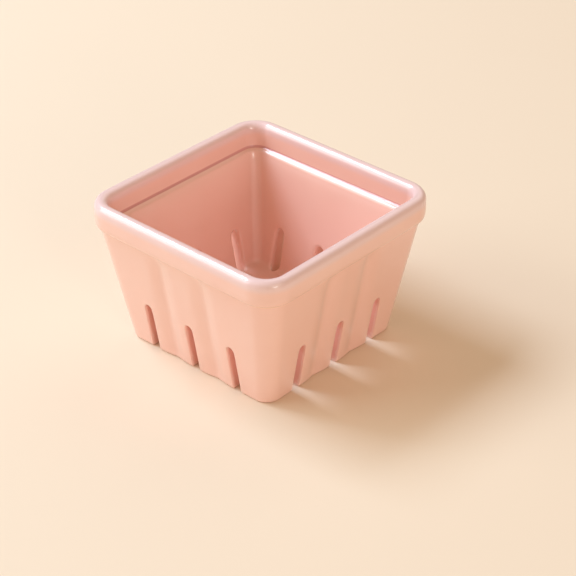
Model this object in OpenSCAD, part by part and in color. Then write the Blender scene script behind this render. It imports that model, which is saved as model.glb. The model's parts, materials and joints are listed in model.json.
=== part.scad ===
// Glazed stoneware berry basket: a square drain bowl with a rolled rim band, staved walls and open slots.
// Millimetres, +Z up. The origin is the middle of the foot, on the surface that the basket stands on.

/* [Rim] */
// Width of the basket over its rim
rim_w = 120; // [104:1:180]
// Height of the basket
basket_h = 76.2; // [60:0.2:110]
// Thickness of the rolled rim
rim_t = 6.9; // [5:0.1:8]
// Outer corner radius of the rim, seen from above
rim_corner_r = 15.2; // [14:0.2:22]
// Height of the rim band, from its step up to the top
band_h = 13.8; // [11:0.2:20]
// How far the rim band stands out from the wall below it
band_step = 2.65; // [1:0.05:3]
// Rounding of the rim band's lower edge
band_round = 3.4; // [1.5:0.1:3.6]

/* [Ledge] */
// Width of the ledge inside, under the rim band
ledge_w = 3; // [2:0.1:4]
// Rounding of the ledge's free edge
ledge_round = 2; // [0.6:0.1:2]
// Rounding where the ledge meets the rim band
ledge_fillet = 0.9; // [0.3:0.1:0.9]

/* [Walls] */
// Width of the basket at its foot, on the table
foot_w = 92; // [84:1:104]
// Thickness of the walls at floor level
wall_foot_t = 8.6; // [6:0.2:10]
// Outer corner radius at the foot, seen from above
foot_corner_r = 7.8; // [6:0.2:12]
// Inner corner radius at floor level
inner_corner_r = 5; // [4.6:0.2:7]
// Rounding of the foot's outer edge
foot_round = 2.4; // [0.4:0.1:3]
// How far below the step the rim meets the walls
rim_seat_drop = 2.4; // [2:0.1:4]

/* [Slots] */
// Slots in each wall
slot_count = 3; // [1:2:3]
// Width of a slot
slot_w = 5.3; // [3:0.1:7]
// Height of a slot's round top above the foot
slot_h = 27.2; // [15:0.2:40]
// Distance from slot to slot
slot_pitch = 26.8; // [20:0.2:28]
// How far a slot runs into the floor past the wall
slot_reach = 1.2; // [0.4:0.1:2]

/* [Staves] */
// Half width over which a stave's edge rounds down to its crease
crease_half_w = 4; // [2:0.1:5]
// Depth of the crease between two staves
crease_depth = 1.1; // [0.3:0.1:2]

/* [Floor] */
// Height of the floor's upper face above the foot
floor_t = 5.5; // [4:0.1:9]
// Fillet between the floor and the walls
floor_fillet = 4; // [1:0.1:4.2]
// Depth of the hollow under the floor
foot_recess = 0.8; // [0.3:0.1:1.5]
// Width of the dry foot ring inside the walls
foot_ring_w = 2.2; // [1:0.1:5]

/* [Hidden] */
$fn = 96;
glaze_pink = [0.93, 0.70, 0.65];
rim_pink = [0.95, 0.78, 0.76];
floor_pink = [0.86, 0.52, 0.47];
overrun = 1;
// A rounding stands this far outside the wall that it runs into, so that the two cross at a clear angle
crossing = 0.02;
// The seam between floor plate and fillet lies this far above the floor, where the fillet has some depth
seam_rise = floor_fillet / 40;

rim_half = rim_w / 2;
rim_corner = rim_half - rim_corner_r;
step_z = basket_h - band_h;
seat_z = step_z - rim_seat_drop;

// The outer wall runs straight from the foot to the step, and the inner one from the floor to the ledge
foot_half = foot_w / 2;
step_half = rim_half - band_step;
outer_slope = (step_half - foot_half) / step_z;
rim_inner_half = rim_half - rim_t;
ledge_half = rim_inner_half - ledge_w;
floor_half = foot_half + outer_slope * floor_t - wall_foot_t;
inner_slope = (ledge_half - floor_half) / (step_z - floor_t);
outer_corner_grow = (outer_half(seat_z) - rim_corner - foot_corner_r) / seat_z;
inner_corner_grow = (inner_half(seat_z) - rim_corner - inner_corner_r) / (seat_z - floor_t);

// Half widths and corner radii of the outer and inner wall faces at a height
function outer_half(z) = foot_half + outer_slope * z;
function inner_half(z) = floor_half + inner_slope * (z - floor_t);
function outer_corner(z) = foot_corner_r + outer_corner_grow * z;
function inner_corner(z) = inner_corner_r + inner_corner_grow * (z - floor_t);

// The corner posts begin where the inner corner's rounding does, and the floor plate ends at the slots' tips
post_foot = floor_half - inner_corner_r;
post_seat = inner_half(seat_z) - inner_corner(seat_z);
plate_half = floor_half - slot_reach;
hollow_half = plate_half - foot_ring_w;

// What a rounding takes off a square edge that points to +X and -Y, with the edge at the origin
module edge_waste(r) {
    difference() {
        translate([-r, -overrun])
            square(r + overrun);
        translate([-r, r])
            circle(r = r);
    }
}

// A slab as wide as the two half widths, seen from the front, between two heights
module slab(z0, z1, half0, half1, depth) {
    rotate([90, 0, 0])
        linear_extrude(height = depth, center = true)
            polygon([[-half0, z0], [half0, z0], [half1, z1], [-half1, z1]]);
}

// A square block with rounded corners whose half width and corner radius change evenly with height.
// Each corner is a cone that leans along the diagonal and touches both faces.
module tapered_block(z0, z1, half0, half1, r0, r1) {
    rise = z1 - z0;
    wide = 2 * (half0 + half1);
    slope = (half1 - half0) / rise;
    grow = (r1 - r0) / rise;
    drift = slope - grow;
    face = sqrt(1 + pow(slope, 2));
    turn = slope / pow(face, 2);
    axis = sqrt(1 + 2 * pow(drift, 2));
    flare = asin(grow / (axis * face));
    // Where the cones touch the faces, at the bottom and at the top
    edge0 = half0 - r0 + drift * turn * r0 / (1 - turn * grow);
    edge1 = half0 - r0 + drift * (rise + turn * r0) / (1 - turn * grow);
    // The cones are longer than the block, because their ends lean
    spare = sqrt(2) * abs(drift) * max(r0, r1) + overrun;
    low_r = (r0 - grow * spare) / (face * cos(flare));
    high_r = (r1 + grow * spare) / (face * cos(flare));
    intersection() {
        slab(z0, z1, wide, wide, wide);
        union() {
            for (turned = [0, 1])
                rotate([0, 0, 90 * turned])
                    intersection() {
                        slab(z0, z1, half0, half1, wide);
                        rotate([0, 0, 90])
                            slab(z0, z1, edge0, edge1, wide);
                    }
            for (quarter = [0:3])
                rotate([0, 0, 90 * quarter])
                    translate([half0 - r0 - drift * spare, half0 - r0 - drift * spare, z0 - spare])
                        rotate([0, 0, 45])
                            rotate([0, atan(sqrt(2) * drift), 0])
                                cylinder(h = (rise + 2 * spare) * axis, r1 = low_r, r2 = high_r);
        }
    }
}

// A block with a flat bottom and a round lower edge, which flares out above the rounding
module soft_block(z0, z1, half, r, edge_r) {
    centre = half - r;
    flare = z1 - z0 - edge_r;
    // One side of the block's section, out to the given reach
    module side_section(start, reach) {
        difference() {
            polygon([[start, z0], [reach, z0], [reach, z0 + edge_r], [reach + flare, z1], [start, z1]]);
            translate([reach, z0])
                edge_waste(edge_r);
        }
    }
    for (turned = [0, 1])
        rotate([90, 0, 90 * turned])
            linear_extrude(height = 2 * centre, center = true)
                for (side = [0, 1])
                    mirror([side, 0])
                        side_section(-overrun, half);
    for (quarter = [0:3])
        rotate([0, 0, 90 * quarter])
            translate([centre, centre, 0])
                rotate_extrude()
                    side_section(0, r);
}

// The space inside the walls, with the fillet round its floor
module cavity() {
    low = floor_t - overrun;
    high = seat_z + overrun;
    fillet_half = inner_half(floor_t + floor_fillet) + crossing;
    fillet_r = inner_corner(floor_t + floor_fillet);
    intersection() {
        tapered_block(low, high, inner_half(low), inner_half(high), inner_corner(low), inner_corner(high));
        soft_block(floor_t, high + overrun, fillet_half, fillet_r, floor_fillet);
    }
}

// The outside of the walls, with the foot's edge rounded
module wall_block() {
    low = -overrun;
    intersection() {
        tapered_block(low, seat_z, outer_half(low), outer_half(seat_z), outer_corner(low), outer_corner(seat_z));
        soft_block(0, seat_z + overrun, outer_half(foot_round) + crossing, outer_corner(foot_round), foot_round);
    }
}

// One slot through the +X wall: a round-topped opening that ends in a round tip in the floor
module slot() {
    tip = floor_half - slot_reach;
    intersection() {
        translate([0, 0, -overrun])
            linear_extrude(height = slot_h + 2 * overrun)
                union() {
                    translate([tip + slot_w / 2, 0])
                        circle(d = slot_w);
                    translate([tip + slot_w / 2, -slot_w / 2])
                        square([rim_half, slot_w]);
                }
        rotate([90, 0, 90])
            linear_extrude(height = rim_w)
                union() {
                    translate([0, slot_h - slot_w / 2])
                        circle(d = slot_w);
                    translate([-slot_w / 2, -2 * overrun])
                        square([slot_w, slot_h - slot_w / 2 + 2 * overrun]);
                }
    }
}

module slots() {
    for (side = [0:3])
        rotate([0, 0, 90 * side])
            for (i = [0:slot_count - 1])
                translate([0, (i - (slot_count - 1) / 2) * slot_pitch, 0])
                    slot();
}

// The crease between two staves of the +X wall: their edges round down to meet in it, up to the step
module crease() {
    edge_r = (pow(crease_half_w, 2) + pow(crease_depth, 2)) / (2 * crease_depth);
    lean = atan(outer_slope);
    length = step_z / cos(lean);
    translate([foot_half, 0, 0])
        rotate([0, lean, 0])
            translate([0, 0, -foot_round - overrun])
                linear_extrude(height = length + foot_round + overrun)
                    difference() {
                        translate([-crease_depth, -crease_half_w])
                            square([crease_depth + overrun, 2 * crease_half_w]);
                        for (side = [-1, 1])
                            translate([-edge_r, side * crease_half_w])
                                circle(r = edge_r);
                    }
}

module creases() {
    for (side = [0:3])
        rotate([0, 0, 90 * side])
            for (i = [1:slot_count - 1])
                translate([0, (i - slot_count / 2) * slot_pitch, 0])
                    crease();
}

module plate_space() {
    translate([-plate_half, -plate_half, -overrun])
        cube([2 * plate_half, 2 * plate_half, floor_t + seam_rise + overrun]);
}

// Walls and corners together, before they are told apart
module walls() {
    difference() {
        wall_block();
        cavity();
        slots();
        creases();
        plate_space();
    }
}

// The stretch of one wall between its corner posts, over the whole height, for the +X wall
module wall_space() {
    spread = (post_seat - post_foot) / (seat_z - floor_t);
    function post(z) = post_foot + spread * (z - floor_t);
    low = -overrun;
    high = seat_z + overrun;
    rotate([90, 0, 90])
        linear_extrude(height = rim_w)
            polygon([[-post(low), low], [post(low), low], [post(high), high], [-post(high), high]]);
}

module wall(side) {
    color(glaze_pink)
        intersection() {
            walls();
            rotate([0, 0, 90 * side])
                wall_space();
        }
}

module corner(side) {
    color(glaze_pink)
        difference() {
            intersection() {
                walls();
                rotate([0, 0, 90 * side])
                    translate([0, 0, -overrun])
                        cube([rim_half, rim_half, seat_z + 2 * overrun]);
            }
            for (turn = [0, 1])
                rotate([0, 0, 90 * (side + turn)])
                    wall_space();
        }
}

// Outline of the rim's section, in distance from the rim's corner centre and height
module rim_section() {
    roll_r = rim_t / 2;
    translate([-rim_corner, 0])
        difference() {
            union() {
                // The roll at the top and the band under it
                translate([rim_half - roll_r, basket_h - roll_r])
                    circle(r = roll_r);
                translate([rim_inner_half, step_z])
                    square([rim_t, basket_h - roll_r - step_z]);
                // The top of the wall, from its seat up to the step
                polygon([[inner_half(seat_z), seat_z], [outer_half(seat_z), seat_z],
                         [step_half, step_z], [ledge_half, step_z]]);
                // The fillet between the ledge and the band's inner face
                translate([rim_inner_half - ledge_fillet, step_z])
                    square(ledge_fillet);
            }
            translate([rim_inner_half - ledge_fillet, step_z + ledge_fillet])
                circle(r = ledge_fillet);
            // The band's lower edge, beside the wall under it
            difference() {
                translate([rim_half, step_z])
                    edge_waste(band_round);
                translate([0, seat_z])
                    square([step_half, rim_seat_drop]);
            }
            // The ledge's free edge
            translate([ledge_half, step_z])
                rotate(180)
                    edge_waste(ledge_round);
        }
}

module rim_band() {
    color(rim_pink)
        difference() {
            for (side = [0:3])
                rotate([0, 0, 90 * side])
                    translate([rim_corner, rim_corner, 0]) {
                        rotate_extrude(angle = 90)
                            rim_section();
                        rotate([90, 0, 0])
                            linear_extrude(height = 2 * rim_corner)
                                rim_section();
                    }
            creases();
        }
}

module floor_plate() {
    color(floor_pink)
        difference() {
            intersection() {
                wall_block();
                plate_space();
            }
            cavity();
            tapered_block(-overrun, foot_recess, hollow_half, hollow_half, inner_corner_r, inner_corner_r);
        }
}

module front_wall() { wall(3); }
module right_wall() { wall(0); }
module back_wall() { wall(1); }
module left_wall() { wall(2); }
module front_right_corner() { corner(3); }
module back_right_corner() { corner(0); }
module back_left_corner() { corner(1); }
module front_left_corner() { corner(2); }

rim_band();
front_wall();
right_wall();
back_wall();
left_wall();
front_right_corner();
back_right_corner();
back_left_corner();
front_left_corner();
floor_plate();
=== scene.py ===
import json
import math
from collections import namedtuple

import bmesh
import bpy
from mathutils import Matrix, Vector

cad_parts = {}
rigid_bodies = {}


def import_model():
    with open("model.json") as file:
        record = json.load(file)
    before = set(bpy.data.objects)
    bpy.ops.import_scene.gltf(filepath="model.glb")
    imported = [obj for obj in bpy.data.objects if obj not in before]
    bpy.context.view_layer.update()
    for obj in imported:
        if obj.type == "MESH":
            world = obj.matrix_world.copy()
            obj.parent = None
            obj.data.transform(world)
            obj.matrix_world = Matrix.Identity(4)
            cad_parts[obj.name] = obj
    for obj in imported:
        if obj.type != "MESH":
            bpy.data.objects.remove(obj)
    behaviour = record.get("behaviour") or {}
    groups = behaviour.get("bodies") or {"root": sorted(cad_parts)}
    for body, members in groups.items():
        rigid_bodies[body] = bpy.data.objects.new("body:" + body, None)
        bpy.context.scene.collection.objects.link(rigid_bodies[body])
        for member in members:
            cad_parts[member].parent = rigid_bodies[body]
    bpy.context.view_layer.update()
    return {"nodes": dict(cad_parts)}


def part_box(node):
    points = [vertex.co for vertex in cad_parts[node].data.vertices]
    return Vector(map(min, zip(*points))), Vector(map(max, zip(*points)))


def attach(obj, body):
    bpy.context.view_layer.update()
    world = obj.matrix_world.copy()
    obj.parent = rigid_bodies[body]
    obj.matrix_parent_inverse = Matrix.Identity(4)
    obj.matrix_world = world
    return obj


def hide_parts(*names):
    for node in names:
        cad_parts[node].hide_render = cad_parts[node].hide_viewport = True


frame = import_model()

# Glazed stoneware berry basket: one cast square bowl with staved walls, drain slots and a rolled rim band.
# Its skin is shaped as one basket, so that the glaze runs on without a break. It is then parted along the
# lines where the pieces of the construction meet. One side is shaped and copied round the middle.
MM = 0.001


def mm(*lengths):
    """Lengths given in millimetres, in the frame's metres."""
    return [length * MM for length in lengths]


# Sizes that the construction already holds
rim_low, rim_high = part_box("rim_band")
floor_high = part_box("floor_plate")[1]
wall_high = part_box("right_wall")[1]
rim_half = rim_high.x
top_z = rim_high.z
seat_z = rim_low.z
seat_half = wall_high.x
floor_z = floor_high.z
slot_tip = floor_high.x

# Outside of the walls
foot_half = 46.2 * MM
foot_corner = 7.6 * MM
foot_round = 1.5 * MM
wall_slope = (seat_half - foot_half) / seat_z

# Rim band, with the step under it outside and the ledge under it inside
rim_corner = 15.2 * MM
rim_centre = rim_half - rim_corner
rim_thickness = 6.9 * MM
roll_r = rim_thickness / 2
rim_inner_half = rim_half - rim_thickness
band_turn = 3.45 * MM
step_z = 62.4 * MM
step_edge = 0.9 * MM
step_half = foot_half + wall_slope * step_z
ledge_z = 63.2 * MM
ledge_half = rim_inner_half - 3.0 * MM
ledge_round = 2.6 * MM
ledge_drop = 0.1 * MM
ledge_fillet = 1.0 * MM

# Inside of the walls
floor_half = 38.4 * MM
inner_corner_r = 4.2 * MM
fillet_r = 4.0 * MM
inner_slope = (ledge_half - floor_half) / (step_z - floor_z)

# Slots, three on each side
slot_half_w = 2.4 * MM
slot_top = 27.2 * MM
slot_pitch = 26.8 * MM
slot_places = (-slot_pitch, 0, slot_pitch)
slot_spring = slot_top - slot_half_w
slot_tip_flat_share = 0.925
outer_edge_r = 0.5 * MM
inner_edge_r = 1.5 * MM

# Creases between the slots: how deep they are at a distance from their middle, and up to a height
crease_at = slot_pitch / 2
crease_flank = 2.5 * MM
crease_half_w = 5.4 * MM
crease_depth = 1.95 * MM
crease_under_foot = 2.2 * MM
crease_depth_shares = ((1.0, 0), (0.62, crease_flank), (0.2, crease_half_w))
crease_fade_shares = ((0.55, 3.2 * MM), (1, 56.5 * MM), (0.8, 59 * MM), (0.5, 61 * MM), (0.3, 61.9 * MM))

# Underside: a dry foot ring round a shallow hollow. Its edge's rows lie so many millimetres in, at a share of
# its depth.
hollow_half = 35.0 * MM
hollow_depth = 0.8 * MM
hollow_corner = 4.5 * MM
hollow_corner_loss_share = 0.2
hollow_edge_rows = ((0, 0.25), (0.35, 0.7), (1.2, 1))
ring_half = hollow_half + 0.6 * MM
ring_corner = 4.6 * MM
dry_margin = 1.6 * MM

# Places along a side where the mesh has an edge, from its middle outward
beside_slot = 5.2 * MM
beyond_slot = 4.6 * MM
column_spots = [
    slot_half_w,
    beside_slot,
    crease_at - crease_half_w,
    crease_at - crease_flank,
    crease_at,
    crease_at + crease_flank,
    crease_at + crease_half_w,
    slot_pitch - beside_slot,
    slot_pitch - slot_half_w,
    slot_pitch,
    slot_pitch + slot_half_w,
    slot_pitch + beyond_slot,
]

# Rows across the foot, with their distance past the slots' tips and the corner's radius there
foot_rows = ((0, 5.0 * MM), (0.85 * MM, 5.2 * MM), (2.65 * MM, 5.6 * MM), (4.9 * MM, 6.0 * MM))

# Heights where the mesh has an edge, on the outside, on both faces of the band and on the inside
outside_rows = mm(4.5, 9, 14, 19.5) + [slot_spring, slot_top] + mm(31, 38, 46, 53, 58)
band_row = 69.4 * MM
inner_band_rows = mm(69.2, 66.0)
inside_rows = mm(58.5, 54, 49, 43, 37, 31) + [slot_top, slot_spring] + mm(22.3, 20, 17.6, 15.2, 13, 11.2)

# Rings that close the floor and the hollow, each as a share of the one before; steps round a corner; and how
# often the finished mesh is divided
middle_ring_shares = (0.93, 0.75, 0.66, 0.5)
corner_steps = 8
smoothing = 2

# Places closer than this count as the same one, and vertices closer than a hair are merged
near = 0.02 * MM
hair = 0.001 * MM

# A column that runs into a corner lies on a chord of its round, this little inside the level's line
chord_slack = 5 * near

# Each piece is found by a plain part of it: these heights of a wall or corner, and this middle of the floor
plain_low, plain_high = mm(35, 50)
floor_middle = 10 * MM

# The rim's mauve tint, a painted reflection of the cool light above, sets in between two depths below the
# top, given as shares of the roll.
# A narrow painted line runs in the corner on each side of the band: painted shade on the ledge inside,
# painted warm glow under the band outside.
reflection_tint_shares = (1.9, 0.9)
most_reflection_tint_share = 0.75
# Height and half height of the painted lines: shade in the ledge's corner inside, warm glow under the band
# outside
inner_shade_line_z = ledge_z + 0.5 * MM
corner_line_half_h = 0.55 * MM
band_divide = rim_half - 4.7 * MM

# One level of the basket: half width, corner radius seen from above, height
Level = namedtuple("Level", "half corner z")


def outer_half(z):
    """Half the width of the basket's outside at a height."""
    return foot_half + wall_slope * z


def inner_half(z):
    """Half the width of the space inside at a height."""
    return floor_half + inner_slope * (z - floor_z)


def outer_centre(z):
    """Where the outer corner's centre lies at a height: it moves out evenly from the foot to the rim."""
    return foot_half - foot_corner + (rim_centre - foot_half + foot_corner) * min(z / seat_z, 1)


def inner_centre(z):
    low = floor_half - inner_corner_r
    return low + (rim_centre - low) * (z - floor_z) / (seat_z - floor_z)


def outer_level(z, half=None):
    half = outer_half(z) if half is None else half
    return Level(half, half - outer_centre(z), z)


def inner_level(z, half=None):
    half = inner_half(z) if half is None else half
    return Level(half, half - inner_centre(z), z)


def rim_level(half, z):
    return Level(half, half - rim_centre, z)


def arc(centre_half, centre_z, r_half, r_z, start, end, steps):
    """Points on an elliptic arc of the section; 0 degrees points outward and 90 points up."""
    for i in range(steps + 1):
        angle = math.radians(start + (end - start) * i / steps)
        yield centre_half + r_half * math.cos(angle), centre_z + r_z * math.sin(angle)


def foot_levels():
    """Under the foot, from the foot ring's inner edge outward past the slots' tips."""
    rows = [Level(slot_tip + past, corner, 0) for past, corner in foot_rows]
    return [Level(ring_half, ring_corner, 0)] + rows


def outside_levels():
    """Round the foot's edge and up the outside of the wall, to the step under the band."""
    edge_half = foot_half + wall_slope * foot_round - foot_round
    edge = arc(edge_half, foot_round, foot_round, foot_round, -90, -12, 3)
    levels = [outer_level(z, half) for half, z in edge]
    levels += [outer_level(z) for z in outside_rows]
    return levels + [outer_level(seat_z), rim_level(outer_half(step_z - step_edge), step_z - step_edge)]


def rim_levels():
    """Out round the band's lower turn, up the band, over the roll and down inside it."""
    turn = arc(step_half, step_z + band_turn, rim_half - step_half, band_turn, -90, 0, 4)
    roll = arc(rim_half - roll_r, top_z - roll_r, roll_r, roll_r, 0, 180, 8)
    places = [*turn, (rim_half, band_row), *roll, *((rim_inner_half, z) for z in inner_band_rows)]
    return [rim_level(half, z) for half, z in places]


def ledge_levels():
    """Along the ledge inside the band, and round its edge to the inside of the wall."""
    fillet = arc(rim_inner_half - ledge_fillet, ledge_z + ledge_fillet, ledge_fillet, ledge_fillet, 0, -80, 2)
    edge_z = ledge_z - ledge_round - ledge_drop
    edge = arc(ledge_half + ledge_round, edge_z, ledge_round, ledge_round, 100, 176, 3)
    return [rim_level(half, z) for half, z in [*fillet, *edge]]


def inside_levels():
    """Down the inside of the wall and round the fillet to the floor."""
    fillet_z = floor_z + fillet_r
    fillet_half = inner_half(fillet_z) - fillet_r
    centre = inner_centre(fillet_z)
    fillet = [*arc(fillet_half, fillet_z, fillet_r, fillet_r, 0, -60, 4), (fillet_half, floor_z)]
    return [inner_level(z) for z in inside_rows] + [Level(half, half - centre, z) for half, z in fillet]


def section():
    """All levels, from the foot ring's inner edge round the outside, over the rim and down to the floor."""
    return foot_levels() + outside_levels() + rim_levels() + ledge_levels() + inside_levels()


def hollow_section():
    """The levels of the shallow hollow under the floor, inside the foot ring."""
    levels = []
    for inset, depth_share in hollow_edge_rows:
        corner = hollow_corner - inset * hollow_corner_loss_share * MM
        levels.append(Level(hollow_half - inset * MM, corner, hollow_depth * depth_share))
    return levels


def pick(kind, wanted):
    """Selects the vertices, edges or faces of the open mesh that wanted says yes to, and nothing else."""
    bpy.ops.mesh.select_mode(type=kind)
    bpy.ops.mesh.select_all(action="DESELECT")
    mesh = bmesh.from_edit_mesh(bpy.context.object.data)
    for part in {"VERT": mesh.verts, "EDGE": mesh.edges, "FACE": mesh.faces}[kind]:
        part.select = wanted(part)
    mesh.select_flush_mode()
    bmesh.update_edit_mesh(bpy.context.object.data)


def select_ring(face_index, wanted):
    """Selects the vertices of one face that wanted says yes to."""
    bpy.ops.mesh.select_mode(type="VERT")
    bpy.ops.mesh.select_all(action="DESELECT")
    mesh = bmesh.from_edit_mesh(bpy.context.object.data)
    mesh.faces.ensure_lookup_table()
    for vertex in mesh.faces[face_index].verts:
        vertex.select = wanted(vertex.co)
    mesh.select_flush_mode()
    bmesh.update_edit_mesh(bpy.context.object.data)


def start_square(level):
    """A flat square with rounded corners and a vertex at each column, as the first level."""
    bpy.ops.object.select_all(action="DESELECT")
    bpy.ops.mesh.primitive_plane_add(size=2 * level.half, location=(0, 0, level.z))
    basket = bpy.context.object
    basket.name = "basket"
    bpy.ops.object.transform_apply(location=True, rotation=True, scale=True)
    bpy.ops.object.mode_set(mode="EDIT")
    bpy.ops.mesh.select_all(action="SELECT")
    bpy.ops.mesh.bevel(offset=level.corner, segments=corner_steps, affect="VERTICES")
    for spot in [0] + column_spots + [-s for s in column_spots]:
        for normal in ((1, 0, 0), (0, 1, 0)):
            bpy.ops.mesh.select_all(action="SELECT")
            bpy.ops.mesh.bisect(plane_co=Vector(normal) * spot, plane_no=normal)
    bpy.ops.mesh.select_all(action="SELECT")
    bpy.ops.mesh.dissolve_faces(use_verts=False)
    return basket


def widen_sides(cap, old, new):
    """Moves the straight sides of a new level to its half width; the columns keep their places along them."""
    centre = old.half - old.corner
    for axis in (0, 1):
        scale = [1, 1, 1]
        scale[axis] = new.half / old.half
        select_ring(cap, lambda co: abs(co[1 - axis]) < centre - near)
        bpy.ops.transform.resize(value=scale, center_override=(0, 0, 0))


def move_corners(cap, old, new):
    """Moves and grows the round corners of a new level into their places."""
    centre = old.half - old.corner
    new_centre = new.half - new.corner
    growth = new.corner / old.corner
    shift = new_centre - centre
    for across in (-1, 1):
        for along in (-1, 1):
            select_ring(cap, lambda co: co.x * across > centre - near and co.y * along > centre - near)
            if math.isclose(growth, 1, rel_tol=1e-6):
                bpy.ops.transform.translate(value=(shift * across, shift * along, 0))
            else:
                pivot = (new_centre - growth * centre) / (1 - growth)
                pivot_place = (pivot * across, pivot * along, new.z)
                bpy.ops.transform.resize(value=(growth, growth, 1), center_override=pivot_place)


def raise_level(old, new):
    """Extrudes the closing face from one level to the next, and leaves it selected."""
    bpy.ops.mesh.extrude_region_move(TRANSFORM_OT_translate={"value": (0, 0, new.z - old.z)})
    mesh = bmesh.from_edit_mesh(bpy.context.object.data)
    mesh.faces.index_update()
    cap = next(face.index for face in mesh.faces if face.select)
    widen_sides(cap, old, new)
    move_corners(cap, old, new)
    bpy.ops.mesh.select_mode(type="FACE")
    bpy.ops.mesh.select_all(action="DESELECT")
    mesh = bmesh.from_edit_mesh(bpy.context.object.data)
    mesh.faces.ensure_lookup_table()
    mesh.faces[cap].select = True
    bmesh.update_edit_mesh(bpy.context.object.data)


def close_middle(z):
    """Takes a flat closing face inward in rings, and closes it in one point in the middle."""
    for share in middle_ring_shares:
        bpy.ops.mesh.extrude_region_move(TRANSFORM_OT_translate={"value": (0, 0, 0)})
        bpy.ops.transform.resize(value=(share, share, 1), center_override=(0, 0, z))
    bpy.ops.mesh.merge(type="CENTER")


def build_cage():
    """The whole basket without slots and creases, raised level by level from its section."""
    levels = section()
    basket = start_square(levels[0])
    bpy.ops.mesh.select_all(action="SELECT")
    for old, new in zip(levels, levels[1:]):
        raise_level(old, new)
    close_middle(floor_z)
    # The first face still closes the underside; the hollow goes up from it
    pick("FACE", lambda face: len(face.verts) > 4 and face.calc_center_median().z < near)
    old = levels[0]
    for new in hollow_section():
        raise_level(old, new)
        old = new
    close_middle(old.z)
    mark_piece_ends(levels)
    return basket


def on_level(co, level):
    """Whether a point lies on a level's rounded square."""
    out, along = max(abs(co.x), abs(co.y)), min(abs(co.x), abs(co.y))
    centre = level.half - level.corner
    reach = out - centre if along < centre else math.hypot(out - centre, along - centre)
    return abs(co.z - level.z) < near and abs(reach - level.corner) < chord_slack


def starts_corner(co, level):
    """Whether a point is the one where a level's straight side turns into its corner."""
    return on_level(co, level) and abs(min(abs(co.x), abs(co.y)) - level.half + level.corner) < near


def mark_piece_ends(levels):
    """Marks the lines where the named pieces meet as seams: the modelling goes on across them."""
    heights = [level.z for level in levels]
    seat = heights.index(seat_z)
    last_above = next(i for i in range(len(levels) - 1, 0, -1) if levels[i].z > seat_z)
    for row in (levels[0], levels[seat], levels[last_above], levels[-1]):
        pick("EDGE", lambda edge: all(on_level(v.co, row) for v in edge.verts))
        bpy.ops.mesh.mark_seam(clear=False)
    wall_levels = levels[: seat + 1] + levels[last_above:]

    def is_corner_start(vertex):
        return any(starts_corner(vertex.co, level) for level in wall_levels)

    pick("EDGE", lambda edge: all(is_corner_start(v) for v in edge.verts))
    bpy.ops.mesh.mark_seam(clear=False)


def keep_one_side():
    """Cuts the basket along its diagonals and keeps the +X side, which is shaped once and then copied."""
    for normal in ((1, 1, 0), (1, -1, 0)):
        bpy.ops.mesh.select_all(action="SELECT")
        bpy.ops.mesh.bisect(plane_co=(0, 0, 0), plane_no=normal, clear_inner=True, threshold=hair)


def outward(co):
    """Whether a point below the step is on the outside of the wall or under the basket."""
    beyond_wall_middle = co.x > (outer_half(co.z) + inner_half(co.z)) / 2
    return co.z < floor_z - near or co.z < step_z - near and beyond_wall_middle


def press_creases():
    """Moves the columns of each crease inward, on the outside of the wall from the foot to the step."""
    for depth_share, offset in crease_depth_shares:
        low = 0
        for fade_share, high in crease_fade_shares:
            def in_column(vertex):
                co = vertex.co
                in_range = low - near <= co.z < high - near and co.x > foot_half - crease_under_foot
                return in_range and outward(co) and abs(abs(abs(co.y) - crease_at) - offset) < near

            pick("VERT", in_column)
            bpy.ops.transform.translate(value=(-crease_depth * depth_share * fade_share, 0, 0))
            low = high


def in_hole(co, place):
    """Whether a point of the side belongs to the slot at a place along it."""
    return abs(co.y - place) < slot_half_w + near and slot_tip - near < co.x and co.z < slot_top + near


def shape_tip(place):
    """Rounds the slot's tip in the floor, by moving the edges of both holes together."""
    tip_centre = slot_tip + slot_half_w
    mesh = bmesh.from_edit_mesh(bpy.context.object.data)
    tip = [v.co.x for v in mesh.verts if in_hole(v.co, place) and v.co.x < tip_centre - near]
    for row in sorted({round(x / near) * near for x in tip}):
        away = min(tip_centre - row, slot_half_w * slot_tip_flat_share)
        width = math.sqrt(slot_half_w ** 2 - away ** 2)

        def in_row(vertex):
            return in_hole(vertex.co, place) and abs(vertex.co.x - row) < 1.5 * near

        pick("VERT", in_row)
        bpy.ops.transform.resize(value=(1, width / slot_half_w, 1), center_override=(row, place, 0))
        if away < tip_centre - row:
            pick("VERT", lambda v: in_row(v) and abs(v.co.y - place) > near)
            bpy.ops.transform.translate(value=(tip_centre - away - row, 0, 0))


def shape_top(place):
    """Rounds the slot's top, by moving the upper corners of both holes inward and down."""
    shift = slot_half_w * (math.cos(math.radians(45)) - 1)
    for side in (-1, 1):
        def is_upper_corner(vertex):
            co = vertex.co
            return in_hole(co, place) and co.z > slot_top - near and (co.y - place) * side > near

        pick("VERT", is_upper_corner)
        bpy.ops.transform.translate(value=(shift * wall_slope, side * shift, shift))


def join_hole(place):
    """Joins the slot's hole outside to its hole inside, through the wall and the floor."""
    pick("EDGE", lambda edge: edge.is_boundary and all(in_hole(v.co, place) for v in edge.verts))
    bpy.ops.mesh.bridge_edge_loops()
    pick("FACE", lambda face: all(in_hole(v.co, place) for v in face.verts))
    bpy.context.object.active_material_index = 1
    bpy.ops.object.material_slot_assign()


def cut_slots():
    """Opens the three slots of the side: both faces get a hole, and the holes are joined through the wall."""
    def in_slot(face):
        co = face.calc_center_median()
        beside = min(abs(co.y - place) for place in slot_places) < slot_half_w
        return beside and co.z < slot_top and co.x > slot_tip - 2 * near

    pick("FACE", in_slot)
    bpy.ops.mesh.delete(type="FACE")
    for place in slot_places:
        shape_tip(place)
        shape_top(place)
    for place in slot_places:
        join_hole(place)


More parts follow.
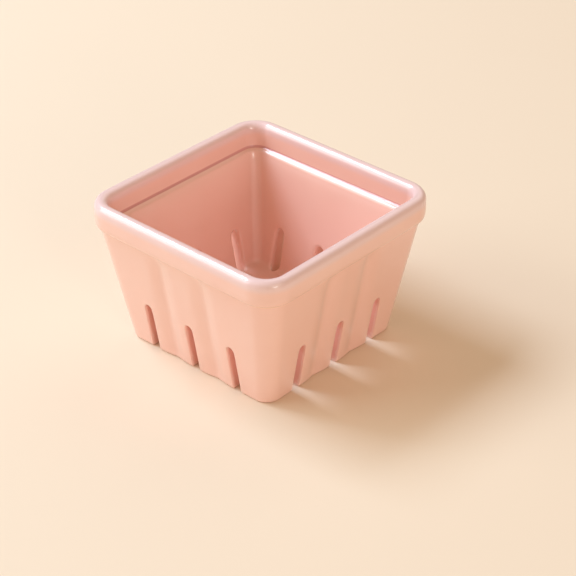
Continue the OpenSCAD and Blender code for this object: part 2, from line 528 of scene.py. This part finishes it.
def round_slot_edges():
    """Rounds the edges of the slots, more on the inside than on the outside."""
    for is_outer, radius in ((False, inner_edge_r), (True, outer_edge_r)):
        def is_slot_edge(edge):
            between_glazes = len({face.material_index for face in edge.link_faces}) == 2
            return between_glazes and all(outward(v.co) for v in edge.verts) == is_outer

        pick("EDGE", is_slot_edge)
        bpy.ops.mesh.bevel(
            offset=radius, offset_type="OFFSET", segments=2, profile=0.5, affect="EDGES", material=0
        )


def copy_sides():
    """Four sides from one, turned about the middle and joined along the diagonals."""
    for turn in (90, 180):
        bpy.ops.mesh.select_all(action="SELECT")
        bpy.ops.mesh.duplicate()
        bpy.ops.transform.rotate(value=math.radians(turn), orient_axis="Z", center_override=(0, 0, 0))
    bpy.ops.mesh.select_all(action="SELECT")
    bpy.ops.mesh.remove_doubles(threshold=hair)
    bpy.ops.mesh.normals_make_consistent(inside=False)


def leave_foot_dry():
    """The faces that stand on the table or look down at it have no glaze."""
    def is_low(co):
        return co.z < hollow_depth + near and max(map(abs, co.xy)) < foot_half - dry_margin

    pick("FACE", lambda face: all(is_low(v.co) for v in face.verts))
    bpy.context.object.active_material_index = 2
    bpy.ops.object.material_slot_assign()


def smooth(basket):
    """Divides the mesh until it is round, and shades it smooth."""
    modifier = basket.modifiers.new("subdivision", "SUBSURF")
    modifier.levels = smoothing
    modifier.render_levels = smoothing
    bpy.ops.object.modifier_apply(modifier=modifier.name)
    bpy.ops.object.shade_smooth()


def make_active(piece):
    """Makes a piece the only one that is selected, and the one that operators work on."""
    bpy.ops.object.select_all(action="DESELECT")
    piece.select_set(True)
    bpy.context.view_layer.objects.active = piece


def belongs_to(node):
    """A rule that finds some faces of a node's piece, outside and inside, well away from its ends."""
    low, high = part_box(node)
    middle = (low + high) / 2
    if node == "rim_band":
        return lambda place: place.z > top_z - roll_r
    if node == "floor_plate":
        return lambda place: max(map(abs, place.xy)) < floor_middle
    return lambda place: plain_low < place.z < plain_high and place.xy.angle(middle.xy) < math.radians(3)


def part_off(basket, node):
    """Separates one piece from the basket, along the marked lines."""
    found = belongs_to(node)
    pick("FACE", lambda face: found(face.calc_center_median()))
    bpy.ops.mesh.select_linked(delimit={"SEAM"})
    bpy.ops.mesh.separate(type="SELECTED")
    piece = next(thing for thing in bpy.context.selected_objects if thing != basket)
    piece.name = "glazed_" + node
    piece.select_set(False)
    return piece


def close_piece(piece, whole):
    """Closes a piece between its outer and inner sheets; its shading stays that of the whole basket."""
    make_active(piece)
    bpy.ops.object.mode_set(mode="EDIT")
    pick("EDGE", lambda edge: edge.is_boundary)
    bpy.ops.mesh.bridge_edge_loops()
    bpy.ops.mesh.select_all(action="SELECT")
    bpy.ops.mesh.mark_seam(clear=True)
    bpy.ops.mesh.normals_make_consistent(inside=False)
    bpy.ops.object.mode_set(mode="OBJECT")
    bpy.ops.object.shade_smooth_by_angle(angle=math.radians(50))
    modifier = piece.modifiers.new("shading", "DATA_TRANSFER")
    modifier.object = whole
    modifier.use_loop_data = True
    modifier.data_types_loops = {"CUSTOM_NORMAL"}
    modifier.loop_mapping = "NEAREST_POLYNOR"
    bpy.ops.object.modifier_apply(modifier=modifier.name)
    bpy.ops.object.material_slot_remove_unused()


def part_basket(basket):
    """The named pieces of the basket, each standing for its own node of the construction."""
    bpy.ops.object.duplicate()
    whole = bpy.context.object
    make_active(basket)
    bpy.ops.object.mode_set(mode="EDIT")
    pieces = {node: part_off(basket, node) for node in frame["nodes"]}
    bpy.ops.object.mode_set(mode="OBJECT")
    for node, piece in pieces.items():
        close_piece(piece, whole)
        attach(piece, "root")
        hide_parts(node)
    for leftover in (basket, whole):
        bpy.data.objects.remove(leftover)


def new_material(name):
    """A material with its nodes, its links and its shader."""
    material = bpy.data.materials.new(name)
    material.use_nodes = True
    nodes = material.node_tree.nodes
    return material, nodes, material.node_tree.links, nodes["Principled BSDF"]


def noise(nodes, links, scale, detail):
    """A noise on the piece's own coordinates."""
    place = nodes.new("ShaderNodeTexCoord")
    grain = nodes.new("ShaderNodeTexNoise")
    grain.inputs["Scale"].default_value = scale
    grain.inputs["Detail"].default_value = detail
    links.new(place.outputs["Object"], grain.inputs["Vector"])
    return grain.outputs["Fac"]


def shade_between(nodes, links, grain, deep, pale, ends=(0, 1)):
    """Runs from a deeper colour to a paler one, where the noise goes from one end value to the other."""
    ramp = nodes.new("ShaderNodeValToRGB")
    for element, end, colour in zip(ramp.color_ramp.elements, ends, (deep, pale)):
        element.position = end
        element.color = colour
    links.new(grain, ramp.inputs["Fac"])
    return ramp.outputs["Color"]


def mix(nodes, links, share, below, above):
    """Mixes one colour over another by a share; each is a colour or a node's output."""
    mixer = nodes.new("ShaderNodeMix")
    mixer.data_type = "RGBA"
    links.new(share, mixer.inputs["Factor"])
    for socket, colour in (("A", below), ("B", above)):
        if isinstance(colour, tuple):
            mixer.inputs[socket].default_value = colour
        else:
            links.new(colour, mixer.inputs[socket])
    return mixer.outputs["Result"]


def emboss(nodes, links, grain, shader, strength, depth):
    """Lets a noise stand out of the surface a little."""
    bump = nodes.new("ShaderNodeBump")
    bump.inputs["Strength"].default_value = strength
    bump.inputs["Distance"].default_value = depth
    links.new(grain, bump.inputs["Height"])
    links.new(bump.outputs["Normal"], shader.inputs["Normal"])


def painted_rim_reflection_share(nodes, links, height):
    """How much of the rim's painted mauve reflection shows at a height: none on the walls, and most on the
    roll.
    """
    share = nodes.new("ShaderNodeMapRange")
    share.interpolation_type = "SMOOTHSTEP"
    share.inputs["From Min"].default_value = top_z - roll_r * reflection_tint_shares[0]
    share.inputs["From Max"].default_value = top_z - roll_r * reflection_tint_shares[1]
    share.inputs["To Max"].default_value = most_reflection_tint_share
    links.new(height, share.inputs["Value"])
    return share.outputs["Result"]


def is_outside(nodes, links, place):
    """1 on the outside of the basket near the rim and 0 on its inside, round the corners too."""
    reach = place
    centre = (rim_centre, rim_centre, 1)
    steps = (("ABSOLUTE", None), ("SUBTRACT", centre), ("MAXIMUM", (0, 0, 0)), ("LENGTH", None))
    for operation, value in steps:
        step = nodes.new("ShaderNodeVectorMath")
        step.operation = operation
        if value:
            step.inputs[1].default_value = value
        links.new(reach, step.inputs[0])
        reach = step.outputs["Value" if operation == "LENGTH" else "Vector"]
    outside = nodes.new("ShaderNodeMath")
    outside.operation = "GREATER_THAN"
    outside.inputs[1].default_value = band_divide - rim_centre
    links.new(reach, outside.inputs[0])
    return outside.outputs["Value"]


def corner_shade_and_glow_share(nodes, links, height, outside):
    """1 in the narrow corners that get a painted line: a painted warm glow under the band outside, and
    painted shade on the ledge inside.
    """
    corner_z = nodes.new("ShaderNodeMath")
    corner_z.operation = "MULTIPLY_ADD"
    corner_z.inputs[1].default_value = step_z - inner_shade_line_z
    corner_z.inputs[2].default_value = inner_shade_line_z
    links.new(outside, corner_z.inputs[0])
    corner_line = nodes.new("ShaderNodeMath")
    corner_line.operation = "COMPARE"
    corner_line.inputs[2].default_value = corner_line_half_h
    links.new(height, corner_line.inputs[0])
    links.new(corner_z.outputs["Value"], corner_line.inputs[1])
    return corner_line.outputs["Value"]


def pink_glaze():
    """Glossy pink glaze with a faint ripple, a painted mauve reflection on the rim, and painted lines in the
    corners by the band: shade on the ledge inside and a warm glow under the band outside.
    """
    material, nodes, links, shader = new_material("pink_glaze")
    place = nodes.new("ShaderNodeTexCoord").outputs["Object"]
    split = nodes.new("ShaderNodeSeparateXYZ")
    links.new(place, split.inputs["Vector"])
    height = split.outputs["Z"]
    deep_pink = (0.93, 0.58, 0.50, 1)
    pale_pink = (0.95, 0.615, 0.535, 1)
    # Painted reflection: the rim's roll is tinted mauve where it would mirror the cool light above.
    painted_reflection_mauve = (0.86, 0.64, 0.655, 1)
    # Painted shade in the corner on the inner ledge, and a painted warm glow of light from the table in the
    # corner under the band.
    painted_shade_red = (0.74, 0.34, 0.32, 1)
    painted_glow_orange = (0.99, 0.66, 0.42, 1)
    patches = noise(nodes, links, scale=28, detail=3)
    pink = shade_between(nodes, links, patches, deep_pink, pale_pink, ends=(0.3, 0.7))
    reflection_tinted = mix(nodes, links, painted_rim_reflection_share(nodes, links, height), pink, painted_reflection_mauve)
    outside = is_outside(nodes, links, place)
    painted_corner_colour = mix(nodes, links, outside, painted_shade_red, painted_glow_orange)
    glazed = mix(nodes, links, corner_shade_and_glow_share(nodes, links, height, outside), reflection_tinted, painted_corner_colour)
    links.new(glazed, shader.inputs["Base Color"])
    ripple = noise(nodes, links, scale=160, detail=2)
    emboss(nodes, links, ripple, shader, strength=0.06, depth=0.4 * MM)
    shader.inputs["Roughness"].default_value = 0.38
    shader.inputs["IOR"].default_value = 1.5
    shader.inputs["Coat Weight"].default_value = 0.75
    shader.inputs["Coat Roughness"].default_value = 0.05
    shader.inputs["Coat IOR"].default_value = 1.55
    return material


def slot_shaded_glaze():
    """The duller glaze on the sides of the slots, coloured deeper than the body's glaze as painted shade."""
    material, nodes, links, shader = new_material("slot_shaded_glaze")
    # Painted shade: both roses are deeper than the body's pink and stand in for the shade inside the slots.
    deep_rose = (0.85, 0.46, 0.38, 1)
    pale_rose = (0.89, 0.51, 0.43, 1)
    rose = shade_between(nodes, links, noise(nodes, links, scale=90, detail=2), deep_rose, pale_rose)
    links.new(rose, shader.inputs["Base Color"])
    shader.inputs["Roughness"].default_value = 0.4
    return material


def dry_stoneware():
    """Bare fired clay under the foot: matt, grainy and slightly speckled."""
    material, nodes, links, shader = new_material("dry_stoneware")
    brown_clay = (0.56, 0.43, 0.33, 1)
    buff_clay = (0.74, 0.64, 0.53, 1)
    grain = noise(nodes, links, scale=700, detail=4)
    clay = shade_between(nodes, links, grain, brown_clay, buff_clay, ends=(0.3, 0.62))
    links.new(clay, shader.inputs["Base Color"])
    emboss(nodes, links, grain, shader, strength=0.3, depth=0.2 * MM)
    shader.inputs["Roughness"].default_value = 0.85
    return material


def cream_table():
    """The pale painted table that the basket stands on."""
    material, nodes, links, shader = new_material("cream_table")
    deep_cream = (0.885, 0.73, 0.575, 1)
    pale_cream = (0.895, 0.745, 0.59, 1)
    cream = shade_between(nodes, links, noise(nodes, links, scale=6, detail=2), deep_cream, pale_cream)
    links.new(cream, shader.inputs["Base Color"])
    shader.inputs["Roughness"].default_value = 0.7
    return material


def lay_table():
    """The table top, which reaches well past the picture."""
    bpy.ops.mesh.primitive_plane_add(size=6, location=(0, 0, 0))
    table = bpy.context.object
    table.name = "table"
    table.data.materials.append(cream_table())


def place_camera():
    """The photograph's view: the camera's turn and rise, and the place beside the bowl that it looks at."""
    turn = math.radians(41.957)
    rise = math.radians(32.671)
    distance = 883.7 * MM
    middle = Vector((0, 0, 36.92 * MM))
    aside, down = mm(12.88, 10.93)
    back = Vector((math.sin(turn) * math.cos(rise), -math.cos(turn) * math.cos(rise), math.sin(rise)))
    right = Vector((math.cos(turn), math.sin(turn), 0))
    target = middle + right * aside - back.cross(right) * down
    data = bpy.data.cameras.new("camera")
    data.lens = 114.54
    data.sensor_width = 36
    data.clip_start = 10 * MM
    camera = bpy.data.objects.new("camera", data)
    bpy.context.collection.objects.link(camera)
    camera.location = target + back * distance
    camera.rotation_euler = (math.radians(90) - rise, 0, turn)
    bpy.context.scene.camera = camera


def area_lamp(name, turn, height, distance, size, radiance, colour):
    """A soft lamp aimed at the basket, placed by turn and height; radiance is how bright its face looks."""
    turn, height = math.radians(turn), math.radians(height)
    back = Vector((math.cos(turn) * math.cos(height), math.sin(turn) * math.cos(height), math.sin(height)))
    data = bpy.data.lights.new(name, "AREA")
    data.shape = "RECTANGLE"
    data.size, data.size_y = size
    data.energy = radiance * math.pi * data.size * data.size_y
    data.color = colour
    lamp = bpy.data.objects.new(name, data)
    bpy.context.collection.objects.link(lamp)
    lamp.location = back * distance
    aim = Vector((0, 0, 40 * MM)) - lamp.location
    lamp.rotation_euler = aim.to_track_quat("-Z", "Y").to_euler()


def light_studio():
    """A softbox high on the left and a wide dim one beside it, dim ones in front and behind, a small window
    low on the right for the glaze to mirror, and a warm fill from all round."""
    world = bpy.data.worlds.new("studio")
    bpy.context.scene.world = world
    world.use_nodes = True
    fill = world.node_tree.nodes["Background"]
    fill.inputs["Color"].default_value = (1, 0.73, 0.46, 1)
    fill.inputs["Strength"].default_value = 0.41
    area_lamp("softbox", 196, 50, 2.2, (1.1, 0.72), radiance=11.8, colour=(0.86, 1.05, 1.27))
    area_lamp("left_side", 225, 28, 2.2, (1.3, 1.2), radiance=3.7, colour=(0.84, 0.97, 1.0))
    area_lamp("front", 345, 30, 2.0, (1.2, 1.2), radiance=0.8, colour=(1.12, 1.0, 0.90))
    area_lamp("back", 102, 43, 2.0, (1.45, 1.45), radiance=0.8, colour=(0.98, 0.94, 0.88))
    area_lamp("window", 340, 13, 1.2, (0.26, 0.36), radiance=7.0, colour=(1.0, 1.0, 0.95))
    bpy.context.scene.view_settings.view_transform = "Standard"


basket = build_cage()
bpy.ops.object.mode_set(mode="OBJECT")
for material in (pink_glaze(), slot_shaded_glaze(), dry_stoneware()):
    basket.data.materials.append(material)
bpy.ops.object.mode_set(mode="EDIT")
keep_one_side()
press_creases()
cut_slots()
round_slot_edges()
copy_sides()
leave_foot_dry()
bpy.ops.object.mode_set(mode="OBJECT")
smooth(basket)
part_basket(basket)

lay_table()
place_camera()
light_studio()
